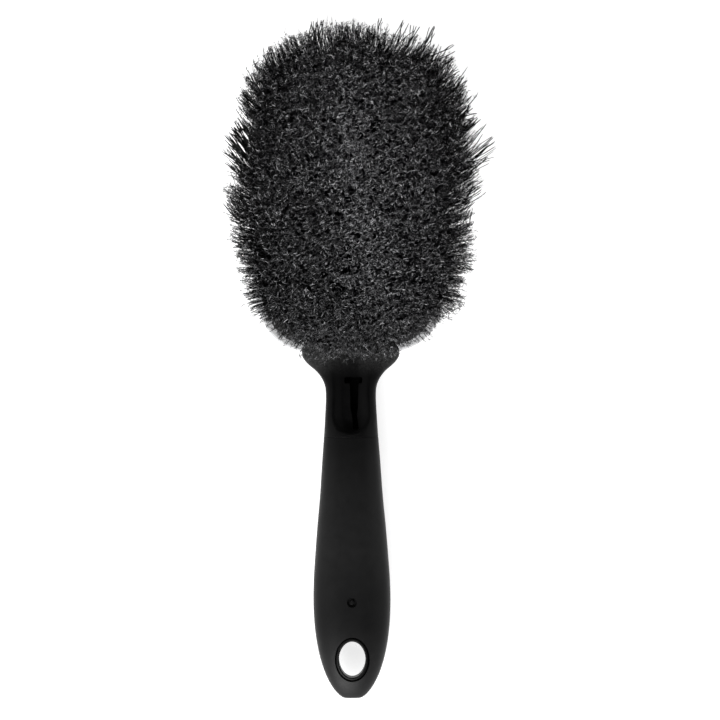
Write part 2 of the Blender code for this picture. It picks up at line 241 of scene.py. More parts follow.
def turn(count, start=0.0, end=2 * math.pi):
    """Angles round a closed outline."""
    return start + (end - start) * np.arange(count) / count


def flat_ring(x, y, z):
    """Points of a level outline at height z."""
    return np.stack([x, y, np.full_like(x, z)], axis=1)


def quarter(steps):
    """Angles of a quarter turn, in equal steps."""
    return [math.pi / 2 * k / steps for k in range(steps + 1)]


def add_mesh(name, verts, faces, smooth_angle=35.0):
    mesh = bpy.data.meshes.new(name)
    mesh.from_pydata([tuple(v) for v in verts], [], faces)
    mesh.update()
    obj = bpy.data.objects.new(name, mesh)
    bpy.context.scene.collection.objects.link(obj)
    bm = bmesh.new()
    bm.from_mesh(mesh)
    bmesh.ops.recalc_face_normals(bm, faces=bm.faces)
    bm.to_mesh(mesh)
    bm.free()
    soften(obj, smooth_angle)
    return obj


def soften(obj, smooth_angle=35.0):
    obj.data.shade_smooth()
    obj.data.set_sharp_from_angle(angle=math.radians(smooth_angle))


def loft(name, rings, closed=False):
    """A solid through rings of equal length, capped at both ends, or closed on itself as a band."""
    rings = np.asarray(rings)
    count, sides = rings.shape[:2]
    faces = []
    for r in range(count if closed else count - 1):
        low, high = r * sides, ((r + 1) % count) * sides
        for k in range(sides):
            n = (k + 1) % sides
            faces.append((low + k, low + n, high + n, high + k))
    if not closed:
        faces.append(tuple(reversed(range(sides))))
        faces.append(tuple((count - 1) * sides + k for k in range(sides)))
    return add_mesh(name, rings.reshape(-1, 3), faces)


def combine(obj, operation, helper):
    """Applies one Boolean and removes its helper."""
    modifier = obj.modifiers.new(helper.name, "BOOLEAN")
    modifier.operation = operation
    modifier.solver = "EXACT"
    modifier.object = helper
    graph = bpy.context.evaluated_depsgraph_get()
    mesh = bpy.data.meshes.new_from_object(obj.evaluated_get(graph))
    obj.modifiers.remove(modifier)
    old = obj.data
    obj.data = mesh
    bpy.data.meshes.remove(old)
    bpy.data.objects.remove(helper)


def place(piece, body, node, materials):
    """Rides the piece on its body, in place of its CAD node, with its materials."""
    for material in materials:
        piece.data.materials.append(material)
    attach(piece, body)
    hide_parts(node)


# Handle surface


def section(y, half_width, low, high, power, top_steps, under_steps, carve=None):
    """A closed cross-section at y: the front from +x to -x, then the back."""
    middle, half_height = (low + high) / 2, (high - low) / 2

    def arc(x):
        share = np.clip(np.abs(x) / half_width, 0, 1)
        return half_height * (1 - share**power) ** (1 / power)

    top_x = half_width * np.cos(np.pi * np.arange(top_steps) / top_steps)
    under_x = -half_width * np.cos(np.pi * np.arange(under_steps) / under_steps)
    top_z = middle + arc(top_x)
    if carve is not None:
        top_z = carve(top_x, y, top_z)
    xs = np.concatenate([top_x, under_x])
    zs = np.concatenate([top_z, middle - arc(under_x)])
    return np.stack([xs, np.full_like(xs, y), zs], axis=1)


def body_sizes(y, inset):
    """Half width, low and high point and power of the handle's cross-section at y."""
    if y >= END_CENTRE_Y:
        low = smooth_curve(LOW_POINTS, y) + inset
        high = smooth_curve(HIGH_POINTS, y) - inset
        return smooth_curve(HALF_WIDTHS, y) - inset, low, high, smooth_curve(SECTION_POWERS, y)
    along = min((END_CENTRE_Y - y) / (END_LENGTH - inset), 1.0)
    low, high = LOW_POINTS[0][1], HIGH_POINTS[0][1]
    half_height = (high - low) / 2 - inset - END_THINNING * along**3
    half_height *= math.sqrt(1 - along**8)
    middle = (low + high) / 2 - END_DROP * along**3
    half_width = (HALF_WIDTHS[0][1] - inset) * math.sqrt(1 - along**END_POWER)
    return half_width, middle - half_height, middle + half_height, SECTION_POWERS[0][1]


def body_section(y, inset, top_steps=128, under_steps=64, carve=None, shrink=0.0):
    half_width, low, high, power = body_sizes(y, inset)
    sizes = (half_width - shrink, low + shrink, high - shrink, power)
    return section(y, *sizes, top_steps, under_steps, carve)


def surface_z(x, y, inset, side):
    """Height of the handle's front (side 1) or back (side -1) at (x, y)."""
    half_width, low, high, power = body_sizes(y, inset)
    share = min(abs(x) / half_width, 1.0)
    return (low + high) / 2 + side * (high - low) / 2 * (1 - share**power) ** (1 / power)


def carve_neck(x, y, z):
    """Lowers the neck's front by the U-shaped scoop, which fades out towards the head."""
    below = min(y - (SCOOP_END_Y + SCOOP_HALF_WIDTH), 0.0)
    side = (SCOOP_HALF_WIDTH - np.hypot(x, below)) / SCOOP_SIDE_RUN
    start = (SCOOP_START_Y - y) / SCOOP_START_RUN
    rise = np.clip(1 - np.minimum(side, start), 0.0, SCOOP_RISE_LIMIT)
    return smooth_min(z, SCOOP_FLOOR_Z + (SCOOP_RIM_Z - SCOOP_FLOOR_Z) * rise**2, SCOOP_BLEND)


def scoop_relief():
    """A wedge a little larger than the scoop, which keeps the head's block out of it."""
    floor_half = SCOOP_HALF_WIDTH - SCOOP_SIDE_RUN + GAP
    rim_half = SCOOP_HALF_WIDTH + GAP
    low, high = SCOOP_FLOOR_Z - GAP, SCOOP_RIM_Z
    corners = [(-floor_half, low), (floor_half, low), (rim_half, high), (-rim_half, high)]
    rings = [[(x, y, z) for x, z in corners] for y in (SCOOP_END_Y, SCOOP_START_Y)]
    return loft("scoop_relief", rings)


def throat_prism():
    """The T-shaped recess: a bar towards the head, and a stem, (y, centre, half width), below it."""
    low, high = THROAT_BAR_Y
    half = THROAT_BAR_HALF_WIDTH
    right = [(centre + wide, y) for y, centre, wide in THROAT_STEM] + [(half, low), (half, high)]
    left = [(centre - wide, y) for y, centre, wide in THROAT_STEM] + [(-half, low), (-half, high)]
    corners = right + left[::-1]
    outline = []
    for i, (x, y) in enumerate(corners):
        here = np.array([x, y])
        before = np.array(corners[i - 1]) - here
        after = np.array(corners[(i + 1) % len(corners)]) - here
        nearer = min(np.linalg.norm(before), np.linalg.norm(after))
        reach = min(THROAT_CORNER, THROAT_CORNER_SHARE * nearer)
        first = here + unit(before) * reach
        last = here + unit(after) * reach
        for t in (0.0, 0.25, 0.5, 0.75, 1.0):
            outline.append((1 - t) ** 2 * first + 2 * t * (1 - t) * here + t**2 * last)
    outline = np.array(outline)
    xs, ys = outline[:, 0] + THROAT_X, outline[:, 1]
    rings = [flat_ring(xs, ys, z) for z in (THROAT_FLOOR_Z, THROAT_TOP_Z)]
    return loft("throat", rings)


def oval(extra, count=96):
    """The hang hole's outline, wider by extra: x and y."""
    x, y = superellipse(HOLE_HALF_WIDTH + extra, HOLE_HALF_LENGTH + extra, 2.0, turn(count))
    return x, y + HOLE_Y


def oval_prism(name, extra):
    x, y = oval(extra)
    return loft(name, [flat_ring(x, y, z) for z in HOLE_CUT_Z])


def make_collar():
    """The hard ring round the hang hole: its lips follow the handle's surface."""
    lip = COLLAR_LIP_ROUND
    profile = [(COLLAR_WALL - inset, 1, drop) for inset, drop in COLLAR_OUTER_BREAKS]
    profile += [(lip * (1 - math.sin(a)), 1, lip * (1 - math.cos(a))) for a in quarter(5)]
    profile += [(extra, -1, drop) for extra, _, drop in reversed(profile)]
    rings = []
    for extra, side, drop in profile:
        xs, ys = oval(extra)
        zs = [surface_z(x, y, COLLAR_SINK, side) - side * drop for x, y in zip(xs, ys)]
        rings.append(np.stack([xs, ys, np.array(zs)], axis=1))
    return loft("hang_hole_collar", rings, closed=True)


def head_outline(inset, count=256):
    """The head's outline moved inwards: x and y, from the CAD bumper's own size."""
    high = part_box("head_bumper")[1]
    half_length = high[1] - HEAD_CENTRE_Y
    x, y = superellipse(high[0] - inset, half_length - inset, HEAD_POWER, turn(count))
    return x, y + HEAD_CENTRE_Y


def head_ring(inset, z, count=256):
    x, y = head_outline(inset, count)
    return flat_ring(x, y, z)


def tuft_roots(node):
    """The middle of each stem's foot in a CAD row: its lowest points, grouped along x."""
    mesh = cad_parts[node].data
    points = np.empty(len(mesh.vertices) * 3)
    mesh.vertices.foreach_get("co", points)
    points = points.reshape(-1, 3)
    feet = points[points[:, 2] < points[:, 2].min() + 0.1 * MM]
    feet = feet[np.argsort(feet[:, 0])]
    splits = np.where(np.diff(feet[:, 0]) > 2 * TUFT_HOLE_RADIUS)[0] + 1
    groups = np.split(feet, splits)
    return np.array([(g[:, :2].min(0) + g[:, :2].max(0)) / 2 for g in groups])


def handle_body():
    """The bar inside the grip, a rounded step at the seam, then the open neck with its scoop."""
    seam_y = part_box("soft_grip")[1][1] + GAP
    tip_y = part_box("handle_core")[0][1]
    hidden = np.linspace(tip_y, seam_y, HIDDEN_RINGS)
    rings = [body_section(y, GRIP_WALL + GAP) for y in hidden]
    edge = SEAM_EDGE
    seam_y -= GAP - SEAM_SLIT
    for a in quarter(4):
        y = seam_y + edge * (1 - math.cos(a))
        rings.append(body_section(y, 0.0, shrink=edge * (1 - math.sin(a))))
    open_neck = np.arange(seam_y + 2 * edge, SHOULDER_Y + NECK_IN_HEAD, NECK_SPACING)
    rings += [body_section(y, 0.0, carve=carve_neck) for y in open_neck]
    rings.append(body_section(SHOULDER_ROOT_Y, 0.0, carve=carve_neck))
    return loft("handle_core_body", rings)


def head_block():
    """The head's block: rounded edges front and back, and a groove round its side."""
    edge = BUMPER_THICKNESS + GAP
    groove = edge + GROOVE_DEPTH
    radius = HEAD_EDGE_ROUND
    low, high = GROOVE_Z
    bottom = [(edge + radius * (1 - math.sin(a)), radius * (1 - math.cos(a))) for a in quarter(6)]
    waist = [(edge, low), (groove, low), (groove, high), (edge, high)]
    top = [(inset, HEAD_THICKNESS - z) for inset, z in reversed(bottom)]
    return loft("head_block", [head_ring(inset, z) for inset, z in bottom + waist + top])


def tuft_holes():
    """One prism for each tuft's hole, all in one mesh."""
    sides = TUFT_HOLE_SIDES
    verts, faces = [], []
    for x, y in np.concatenate([tuft_roots(node) for node in ROW_NODES]):
        base = len(verts)
        for z in (TUFT_HOLE_FLOOR_Z, HEAD_THICKNESS + TUFT_HOLE_CUT_PAST):
            for a in turn(sides):
                out_x, out_y = TUFT_HOLE_RADIUS * math.cos(a), TUFT_HOLE_RADIUS * math.sin(a)
                verts.append((x + out_x, y + out_y, z))
        for k in range(sides):
            n = (k + 1) % sides
            faces.append((base + k, base + n, base + sides + n, base + sides + k))
        faces.append(tuple(base + k for k in reversed(range(sides))))
        faces.append(tuple(base + sides + k for k in range(sides)))
    return add_mesh("tuft_holes", verts, faces)


def make_handle_core(materials):
    core = handle_body()
    block = head_block()
    combine(block, "DIFFERENCE", scoop_relief())
    combine(core, "UNION", block)
    combine(core, "DIFFERENCE", tuft_holes())
    combine(core, "DIFFERENCE", oval_prism("hidden_window", COLLAR_WALL / 2))
    combine(core, "UNION", make_collar())
    combine(core, "DIFFERENCE", throat_prism())
    soften(core)
    place(core, "root", "handle_core", materials)


def gate_rings(profile):
    """Circles round the gate mark, one for each (radius, z)."""
    rings = []
    for radius, z in profile:
        x, y = superellipse(radius, radius, 2.0, turn(48))
        rings.append(flat_ring(x, y + GATE_Y, z))
    return rings


def cut_gate_mark(grip):
    """Cuts the round trench, then takes the nib down to a low dome."""
    crown = surface_z(0, GATE_Y, 0.0, 1)
    above = crown + GATE_CUT_PAST
    floor = crown - GATE_DEPTH
    nib_top = crown - GATE_NIB_DROP
    nib_edge = nib_top - GATE_NIB_ROUND
    trench = [(GATE_OUTER_RADIUS + GATE_CUT_PAST, above), (GATE_OUTER_RADIUS, crown - GATE_OVERLAP)]
    trench += [(GATE_OUTER_RADIUS, floor), (GATE_NIB_RADIUS, floor)]
    trench += [(GATE_NIB_RADIUS, nib_edge), (GATE_NIB_RADIUS, above)]
    cap = [(GATE_NIB_RADIUS - GATE_NIB_ROUND, nib_top), (GATE_NIB_RADIUS + GATE_OVERLAP, nib_edge)]
    cap += [(GATE_NIB_RADIUS + GATE_OVERLAP, above)]
    combine(grip, "DIFFERENCE", loft("gate_trench", gate_rings(trench), closed=True))
    combine(grip, "DIFFERENCE", loft("gate_cap", gate_rings(cap)))


def make_soft_grip(materials):
    low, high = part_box("soft_grip")
    seam_y, end_y = high[1], low[1]
    rings = []
    edge = GRIP_END_ROUND
    for a in quarter(6):
        y = end_y + edge * (1 - math.cos(a))
        rings.append(body_section(y, 0.0, shrink=edge * (1 - math.sin(a))))
    fine = np.arange(end_y + edge + 0.3 * MM, end_y + GRIP_END_LENGTH, GRIP_END_SPACING)
    coarse = np.arange(end_y + GRIP_END_LENGTH + 0.4 * MM, seam_y - 0.5 * MM, GRIP_SPACING)
    rings += [body_section(y, 0.0) for y in np.concatenate([fine, coarse])]
    edge = SEAM_EDGE
    for a in quarter(4):
        y = seam_y - edge * (1 - math.sin(a))
        rings.append(body_section(y, 0.0, shrink=edge * (1 - math.cos(a))))
    grip = loft("soft_grip_cover", rings)
    inside_y = end_y + GRIP_WALL
    hidden = inside_y + np.linspace(0, seam_y + GRIP_CUT_PAST - inside_y, HIDDEN_RINGS)
    combine(grip, "DIFFERENCE", loft("grip_cavity", [body_section(y, GRIP_WALL) for y in hidden]))
    combine(grip, "DIFFERENCE", oval_prism("grip_window", COLLAR_WALL + GAP))
    cut_gate_mark(grip)
    soften(grip)
    place(grip, "root", "soft_grip", materials)


def make_bumper(materials):
    """The soft band, swept round the head from one shoulder to the other."""
    low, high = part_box("head_bumper")
    bottom, top = low[2], high[2]
    edge = BUMPER_EDGE_ROUND
    lower = []
    for a in quarter(6):
        inset = BUMPER_SWELL + edge * (1 - math.sin(a))
        lower.append((inset, bottom + edge * (1 - math.cos(a))))
    profile = lower + [(0.0, (bottom + top) / 2)]
    profile += [(inset, bottom + top - z) for inset, z in reversed(lower)]
    inner_low, inner_high = GROOVE_Z[0] + GAP, GROOVE_Z[1] - GAP
    tongue = BUMPER_THICKNESS + GROOVE_DEPTH
    profile += [(BUMPER_THICKNESS, top), (BUMPER_THICKNESS, inner_high), (tongue, inner_high)]
    profile += [(tongue, inner_low), (BUMPER_THICKNESS, inner_low), (BUMPER_THICKNESS, bottom)]
    gap_half = smooth_curve(HALF_WIDTHS, SHOULDER_Y) + GAP
    start = math.acos((gap_half / high[0]) ** (HEAD_POWER / 2))
    half_length = high[1] - HEAD_CENTRE_Y
    insets = np.array([inset for inset, z in profile])
    heights = np.array([z for inset, z in profile])
    rings = []
    for a in np.linspace(-start, math.pi + start, BUMPER_RINGS):
        x, y = superellipse(high[0] - insets, half_length - insets, HEAD_POWER, a)
        rings.append(np.stack([x, y + HEAD_CENTRE_Y, heights], axis=1))
    bumper = loft("head_bumper_band", rings)
    place(bumper, "root", "head_bumper", materials)


# Bristles

ROW_NODES = sorted(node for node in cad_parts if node.startswith("tuft_row"))

# Filaments: how many, how thick and how long, and how they spread from the hole to the tips.
FIRST_SEED = 700
FILAMENTS_PER_TUFT = 136
CLUMPS_PER_TUFT = 11
CLUMPING = (0.0, 0.4)
EDGE_THICKENING = 0.4
SHAFT_RADIUS = 0.14 * MM
SHAFT_RANGE = (0.85, 1.2)
SHAFT_TAPER = [1, 1, 1, 0.95, 0.8, 0.2, 0.0]
SHAFT_STATIONS = np.array([0.0, 0.3, 0.6, 0.86, 0.97, 1.0])
ROOT_RADIUS = 1.4 * MM
ROOT_DEPTH = 5.0 * MM
FREE_LENGTH = 41.0 * MM
LENGTH_VARIATION = 1.2 * MM
LEAST_HEIGHT = 20.0 * MM
ARC_SHORTENING = 1.1
BOW_POWER = 1.45
EDGE_BOW = 0.5
WOBBLE = 0.25 * MM
TIP_SPREAD = 7.2 * MM
CLUMP_SPREAD = 1.2 * MM
TUFT_SPREAD = 0.6 * MM
STRAY_SHARE = 0.35
STRAY_REACH = 2.2 * MM
STRAY_LIMIT = 2.2
STRAY_LENGTHENING = 1.2 * MM
EDGE_POWER = 6
EDGE_WIDENING = 0.45
EDGE_CROWDING = 0.25
EDGE_CALM = 0.3
STRAY_CALM = 1.5
CALM_TIP = 0.6
CALM_THICKENING = 0.35
SIDE_SWEEP = 6.0 * MM
END_CROWN = 4.8 * MM
END_CROWN_POWER = 5

# Flags: the split ends of a filament.
FLAGS_PER_FILAMENT = 7
FLAG_RADIUS = 0.092 * MM
FLAG_RANGE = (0.5, 1.2)
FLAG_TAPER = np.array([1.0, 1.0, 0.85, 0.0])
FLAG_STEP = (0.22 * MM, 0.58 * MM)
FLAG_PLACE = (0.3, 1.0)
FLAG_OPENING = (0.5, 2.2)
FLAG_LIE = (1.25, 0.75, 0.35)
FLAG_GRAIN = math.radians(25)
FLAG_OUTWARD = 0.5
FLAG_TURN = 0.4
FLAG_CURL = 0.28
FLAG_LAST_CURL = 1.1
FLAG_CALM_OPENING = 0.85
FLAG_CALM_CURL = 0.6
FLAG_DROOP = 0.3
LONG_FLAG_SHARE = 0.08
LONG_FLAG_LENGTH = 1.8

# Shades of the flags, as painted light: a painted highlight band along the middle, a brighter right side,
# a mid grey lit low end, and fewer highlights on the dark stray strands.
HIGHLIGHT_BAND = [(10.0 * MM, 10.0 * MM), (70.0 * MM, 4.0 * MM), (115.0 * MM, 0.0)]
HIGHLIGHT_BAND_HALF_WIDTH = 11.0 * MM
HIGHLIGHT_BAND_MIDDLE_Y = 68.0 * MM
HIGHLIGHT_BAND_HALF_LENGTH = 48.0 * MM
LOW_FRINGE_MIDDLE = 9.0 * MM
RIGHT_SIDE_X = 40.0 * MM
LOW_MIDDLE_X = 4.0 * MM
LOW_MIDDLE_Y = 14.0 * MM
LOW_MIDDLE_RUN = 6.0 * MM
LOW_FRINGE_SHARE = 0.13
LOW_MIDDLE_DARKENING = 0.3
STRAY_DARKENING = 0.75
STRAY_DARK_SHARE = 0.2
PALE = 0.06
PALE_IN_BAND = 0.085
PALE_ON_RIGHT = 0.008
PALE_LOST_LOW = 0.5
LIGHT = 0.15
LIGHT_IN_BAND = 0.085
LIGHT_IN_FRINGE = 0.04
LIGHT_ON_RIGHT = 0.07
MID = 0.22
MID_LOW = 0.4

# Wisps: strands that stand out of the pad.
WISP_SPREAD = 1.1 * MM
WISP_PARTING = 1.7 * MM
WISP_HEIGHTS = np.array([9.0, 32.0, 46.0, 49.3, 51.0, 51.0, 51.0]) * MM
WISP_RADIUS = 0.22 * MM
WISP_RANGE = (0.7, 1.2)
WISP_TAPER = np.array([1, 1, 1, 1, 0.95, 0.85, 0.0])
WISP_RISE = (0.0, 0.25, 0.85)
WISP_LEAN = (0.35, 0.68, 0.94, 1.0)
WISP_LENGTHS = (0.7, 1.05)
WISP_HEIGHT_SPREAD = 1.5 * MM
WISP_WOBBLE = 0.2 * MM

# The pad of tips: (y, left edge, right edge), from its low end to its high end.
PAD_OUTLINE = [
    (4.8 * MM, -17.5 * MM, 17.0 * MM),
    (8.8 * MM, -21.6 * MM, 23.0 * MM),
    (12.9 * MM, -26.0 * MM, 29.2 * MM),
    (16.9 * MM, -31.0 * MM, 35.0 * MM),
    (21.0 * MM, -36.8 * MM, 40.2 * MM),
    (25.1 * MM, -40.5 * MM, 44.2 * MM),
    (33.2 * MM, -41.5 * MM, 45.0 * MM),
    (41.3 * MM, -43.0 * MM, 47.3 * MM),
    (47.0 * MM, -43.5 * MM, 48.5 * MM),
    (55.0 * MM, -44.2 * MM, 45.6 * MM),
    (61.6 * MM, -47.5 * MM, 45.7 * MM),
    (67.0 * MM, -46.0 * MM, 45.7 * MM),
    (73.8 * MM, -45.3 * MM, 48.9 * MM),
    (79.0 * MM, -42.0 * MM, 47.0 * MM),
    (84.0 * MM, -37.8 * MM, 46.5 * MM),
    (90.0 * MM, -34.4 * MM, 46.0 * MM),
    (96.0 * MM, -35.0 * MM, 46.0 * MM),
    (102.2 * MM, -39.6 * MM, 45.0 * MM),
    (106.3 * MM, -40.0 * MM, 43.5 * MM),
    (110.3 * MM, -38.2 * MM, 41.4 * MM),
    (114.4 * MM, -37.0 * MM, 39.2 * MM),
    (118.4 * MM, -34.5 * MM, 37.1 * MM),
    (122.5 * MM, -31.2 * MM, 34.6 * MM),
    (126.6 * MM, -25.5 * MM, 29.0 * MM),
    (130.6 * MM, -16.5 * MM, 17.5 * MM),
    (134.7 * MM, -8.0 * MM, 13.0 * MM),
]

# How loose the strands are along the pad, as (row's place, looseness), and where the tips gather.
LOOSENESS = [(0.0, 0.0), (0.15, 0.12), (0.45, 0.2), (0.65, 0.45), (0.85, 0.6), (1.0, 0.2)]
LOOSENESS_RANGE = (0.5, 1.4)
PAD_LOW_Y = 8.2 * MM
PAD_HIGH_Y = 125.5 * MM
PAD_MARGIN = 4.7 * MM
PAD_LOW_MARGIN = 2.0 * MM
PAD_LOW_POWER = 6
FAN_CENTRE = (0.0, 41.0 * MM)

# Loose strands that stand out of the pad: (foot x, foot y, tip x, tip y) in mm, and how many.
WISPS = [
    (-36.4, 86.0, -41.0, 96.6, 5),
    (-37.4, 84.5, -44.6, 98.4, 16),
    (-38.4, 82.5, -48.0, 95.8, 23),
    (-39.4, 80.0, -50.4, 91.8, 23),
    (-40.8, 77.4, -50.2, 87.2, 19),
    (-42.0, 74.0, -49.0, 82.2, 11),
    (-42.6, 71.0, -48.2, 77.4, 5),
    (-43.4, 59.0, -48.6, 67.4, 7),
    (-43.4, 56.0, -51.4, 64.6, 10),
    (-42.6, 50.4, -48.0, 54.3, 5),
    (-42.0, 46.6, -47.2, 49.4, 5),
    (-41.0, 41.0, -46.2, 43.8, 5),
    (-35.6, 96.0, -41.4, 105.2, 6),
    (-36.4, 101.0, -43.6, 110.0, 9),
    (-34.6, 107.6, -41.0, 115.0, 7),
    (-31.0, 116.0, -35.4, 122.0, 6),
    (-24.4, 125.0, -24.8, 130.6, 6),
    (-14.6, 130.6, -14.3, 138.0, 9),
    (-11.8, 131.4, -11.2, 138.6, 6),
    (11.8, 133.0, 12.3, 139.0, 5),
    (19.5, 129.8, 22.6, 137.6, 5),
    (24.4, 128.0, 27.4, 135.6, 4),
    (31.2, 127.0, 34.4, 135.6, 6),
    (36.5, 122.6, 42.8, 127.8, 4),
    (37.9, 118.8, 43.0, 123.2, 5),
    (39.2, 113.6, 45.0, 117.4, 7),
    (41.4, 108.6, 47.8, 113.4, 8),
    (44.0, 104.6, 48.0, 109.2, 7),
    (44.4, 98.0, 50.2, 102.4, 9),
    (46.4, 91.6, 53.4, 97.8, 5),
    (45.8, 80.6, 55.8, 96.4, 2),
    (45.7, 78.7, 58.0, 90.6, 4),
    (46.0, 79.4, 59.4, 89.4, 4),
    (45.3, 77.6, 60.0, 86.4, 6),
    (45.8, 75.0, 56.4, 82.4, 4),
    (49.0, 74.6, 53.2, 80.6, 3),
    (45.3, 63.6, 52.4, 71.0, 6),
    (44.5, 60.4, 50.8, 64.6, 5),
    (46.9, 52.4, 49.8, 62.4, 4),
    (45.8, 38.7, 50.4, 36.9, 4),
]


def unit(v):
    return v / (np.linalg.norm(v, axis=-1, keepdims=True) + TINY)


def tubes(points, radii, sides=3):
    """Closed tapered tubes along many paths at once.

    points is (count, steps, 3) and radii (count, steps). Each path ends in a point. Returns vertices,
    quads and triangles, and the number of the tube that each quad and each triangle belongs to. The
    foot is closed by one triangle, so sides is 3.
    """
    count, steps = points.shape[:2]
    tangent = unit(np.gradient(points, axis=1))
    bend = np.cross(points[:, steps // 2] - points[:, 0], points[:, -1] - points[:, 0])
    size = np.linalg.norm(bend, axis=1, keepdims=True)
    spare = np.cross(tangent[:, 0], SPARE_AXIS)
    spare /= np.linalg.norm(spare, axis=1, keepdims=True)
    normal = np.where(size > LEAST_BEND, bend / (size + TINY), spare)[:, None, :]
    side = unit(normal - tangent * np.sum(normal * tangent, axis=2, keepdims=True))
    other = np.cross(tangent, side)
    rings = steps - 1
    angles = turn(sides)
    reach = radii[:, :rings, None, None]
    ring_points = (
        points[:, :rings, None, :]
        + reach * np.cos(angles)[None, None, :, None] * side[:, :rings, None, :]
        + reach * np.sin(angles)[None, None, :, None] * other[:, :rings, None, :]
    )
    verts = np.concatenate([ring_points.reshape(count, rings * sides, 3), points[:, -1:, :]], axis=1)
    per = rings * sides + 1
    base = (np.arange(count) * per)[:, None, None, None]
    r = np.arange(rings - 1)[None, :, None]
    k = np.arange(sides)[None, None, :]
    n = (k + 1) % sides
    quad = np.stack([r * sides + k, r * sides + n, (r + 1) * sides + n, (r + 1) * sides + k], axis=-1)
    quads = (base + quad).reshape(-1, 4)
    k = np.arange(sides)
    n = (k + 1) % sides
    last = (rings - 1) * sides
    tip = np.stack([last + k, last + n, np.full(sides, per - 1)], axis=-1)
    foot = np.array([list(reversed(range(sides)))])
    tris = (base[:, 0] + np.concatenate([tip, foot])[None]).reshape(-1, 3)
    quad_owner = np.repeat(np.arange(count), (rings - 1) * sides)
    tri_owner = np.repeat(np.arange(count), sides + 1)
    return verts.reshape(-1, 3), quads, tris, quad_owner, tri_owner


def fast_mesh(name, parts):
    """One object from several (verts, quads, tris, quad slots, tri slots)."""
    verts, quads, tris, quad_slots, tri_slots = [], [], [], [], []
    offset = 0
    for v, q, t, qs, ts in parts:
        verts.append(v)
        quads.append(q + offset)
        tris.append(t + offset)
        quad_slots.append(qs)
        tri_slots.append(ts)
        offset += len(v)
    verts, quads, tris = np.concatenate(verts), np.concatenate(quads), np.concatenate(tris)
    slots = np.concatenate(quad_slots + tri_slots)
    mesh = bpy.data.meshes.new(name)
    mesh.vertices.add(len(verts))
    mesh.vertices.foreach_set("co", verts.astype(np.float32).ravel())
    corners = np.concatenate([quads.ravel(), tris.ravel()])
    mesh.loops.add(len(corners))
    mesh.loops.foreach_set("vertex_index", corners.astype(np.int32))
    starts = np.concatenate([np.arange(len(quads)) * 4, quads.size + np.arange(len(tris)) * 3])
    mesh.polygons.add(len(starts))
    mesh.polygons.foreach_set("loop_start", starts.astype(np.int32))
    mesh.polygons.foreach_set("material_index", slots.astype(np.int32))
    mesh.update(calc_edges=True)
    mesh.shade_flat()
    obj = bpy.data.objects.new(name, mesh)
    bpy.context.scene.collection.objects.link(obj)
    return obj


def pad_edges(y):
    """Left and right edge of the pad of tips at y."""
    return (
        smooth_curve([(p[0], p[1]) for p in PAD_OUTLINE], y),
        smooth_curve([(p[0], p[2]) for p in PAD_OUTLINE], y),
    )


def tip_centre(root, root_half, share):
    """Where a tuft's tips gather. share is the row's place, from 0 at the handle to 1 at the far end."""
    y = PAD_LOW_Y + (PAD_HIGH_Y - PAD_LOW_Y) * share
    across = root[0] / root_half
    y += SIDE_SWEEP * across**2 * math.sin(math.pi * share)
    y += END_CROWN * (1 - across**2) * max(2 * share - 1, 0.0) ** END_CROWN_POWER
    left, right = pad_edges(y)
    margin = PAD_MARGIN + PAD_LOW_MARGIN * (1 - share) ** PAD_LOW_POWER
    reach = (right - margin) * across if across > 0 else -(left + margin) * across
    return np.array([reach, y])


def filament_paths(rng, root, target, edge, looseness, crowding):
    """Points of one tuft's filaments, from the hole's inside to the tips, and how calm each one is.

    edge is how near the tuft stands to the pad's outline, where filaments fan out. looseness is how
    far some of them stray, and crowding is how strongly they gather at the outline. Calm filaments
    keep their split ends together.
    """
    n = int(FILAMENTS_PER_TUFT * (1 + EDGE_THICKENING * edge))
    around = rng.uniform(0, 2 * np.pi, n)
    ring = np.stack([np.cos(around), np.sin(around)], axis=1) * np.sqrt(rng.uniform(0, 1, (n, 1)))
    start = root + ring * ROOT_RADIUS
    clump_angle = rng.uniform(0, 2 * np.pi, CLUMPS_PER_TUFT)
    clump_reach = np.sqrt(rng.uniform(0, 1, (CLUMPS_PER_TUFT, 1)))
    clumps = np.stack([np.cos(clump_angle), np.sin(clump_angle)], axis=1) * clump_reach
    nearest = np.argmin(np.linalg.norm(ring[:, None] - clumps[None], axis=2), axis=1)
    gather = rng.uniform(*CLUMPING, (n, 1))
    spread = ring * (1 - gather) + clumps[nearest] * gather
    outward = unit(target - np.array(FAN_CENTRE))
    along = np.array([-outward[1], outward[0]])
    spread += along * (spread @ along)[:, None] * EDGE_WIDENING * edge
    spread += outward * (1 - (spread @ outward)[:, None] ** 2) * crowding
    tip = target + spread * TIP_SPREAD + rng.normal(0, CLUMP_SPREAD, (n, 2))
    stray = np.minimum(rng.exponential(1.0, (n, 1)), STRAY_LIMIT)
    stray *= rng.uniform(0, 1, (n, 1)) < STRAY_SHARE
    stray *= looseness
    tip = tip + outward * stray * STRAY_REACH
    shift = tip - start
    length = FREE_LENGTH + rng.normal(0, LENGTH_VARIATION, n) + STRAY_LENGTHENING * stray[:, 0]
    height = length**2 - ARC_SHORTENING * np.sum(shift**2, axis=1)
    height = np.sqrt(np.maximum(height, LEAST_HEIGHT**2))
    s = SHAFT_STATIONS
    power = BOW_POWER + EDGE_BOW * edge
    bow = s[None, :, None] ** power
    lean = power * edge * (np.linalg.norm(shift, axis=1, keepdims=True) * outward - shift)
    path = np.empty((n, len(s) + 1, 3))
    path[:, 0, :2] = start
    path[:, 0, 2] = HEAD_THICKNESS - ROOT_DEPTH
    path[:, 1:, :2] = start[:, None, :] + shift[:, None, :] * bow
    path[:, 1:, :2] += lean[:, None, :] * (s**2 * (s - 1))[None, :, None]
    path[:, 1:, 2] = HEAD_THICKNESS + height[:, None] * s
    path[:, 2:-1, :2] += rng.normal(0, WOBBLE, (n, len(s) - 2, 2))
    calm = np.clip(EDGE_CALM * edge + STRAY_CALM * stray, 0.0, 1.0)
    return path, calm


